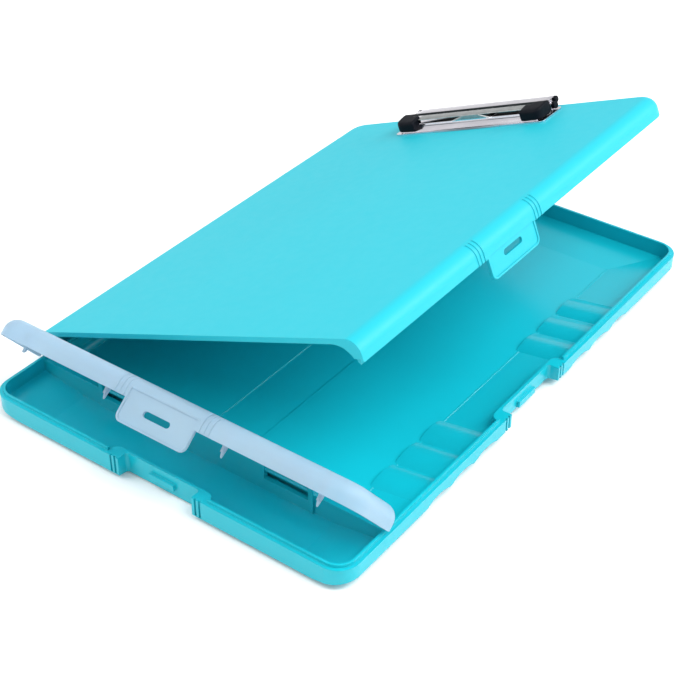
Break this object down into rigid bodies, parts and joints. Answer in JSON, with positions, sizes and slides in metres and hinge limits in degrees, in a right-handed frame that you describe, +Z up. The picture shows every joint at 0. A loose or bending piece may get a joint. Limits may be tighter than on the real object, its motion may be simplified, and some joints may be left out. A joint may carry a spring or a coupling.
{
  "type": "storage clipboard box",
  "caption": "Storage clipboard box with a side-hinged writing lid, a low-profile clip on top, and a frosted pen door over a separate pen compartment",
  "frame": {"origin": "centre of the flat underside of the tray", "axes": "+Z up, +Y along the box's length towards the clip, +X towards the lid's latch; the lid's hinge is on the -X side and the pen door is at the -Y end"},
  "size_m": [0.2514, 0.3617, 0.1148],
  "materials": {
    "tray_plastic": "moulded polypropylene with a fine satin texture",
    "frosted_plastic": "frosted translucent polypropylene",
    "steel": "plain steel pins and rivets",
    "plated_steel": "bright nickel-plated sheet steel",
    "spring_steel": "oiled spring wire",
    "black_rubber": "soft black rubber"
  },
  "bodies": {
    "body": {"tray": "tray_plastic", "lid_hinge_pin_near": "steel", "lid_hinge_pin_middle": "steel", "lid_hinge_pin_far": "steel", "door_hinge_pin_left": "steel", "door_hinge_pin_right": "steel"},
    "lid": {"main_lid": "tray_plastic", "clip_base": "plated_steel", "clip_pivot_rod": "steel", "clip_spring": "spring_steel", "clip_rod_caps": "black_rubber", "clip_rivets": "steel", "clip_rivet_washers": "steel"},
    "door": {"pen_door": "frosted_plastic"},
    "jaw": {"clip_jaw": "plated_steel", "clip_grip_left": "black_rubber", "clip_grip_right": "black_rubber"}
  },
  "joints": [
    {"name": "lid_hinge", "type": "hinge", "parent": "body", "child": "lid", "pos_m": [-0.1198, 0, 0.0029], "axis": [0, -1, 0], "range_deg": [-22.3, 67.7]},
    {"name": "pen_door_hinge", "type": "hinge", "parent": "body", "child": "door", "pos_m": [0, -0.1366, 0.0241], "axis": [-1, 0, 0], "range_deg": [-51, 39]},
    {"name": "clip_jaw_pivot", "type": "hinge", "parent": "lid", "child": "jaw", "pos_m": [-0.01943, 0.1635, 0.0739], "axis": [-0.9252, 0, -0.3795], "range_deg": [0, 26], "stiffness_Nm_per_rad": 0.8, "springref_deg": -28.65, "deforming": ["clip_spring"]}
  ]
}
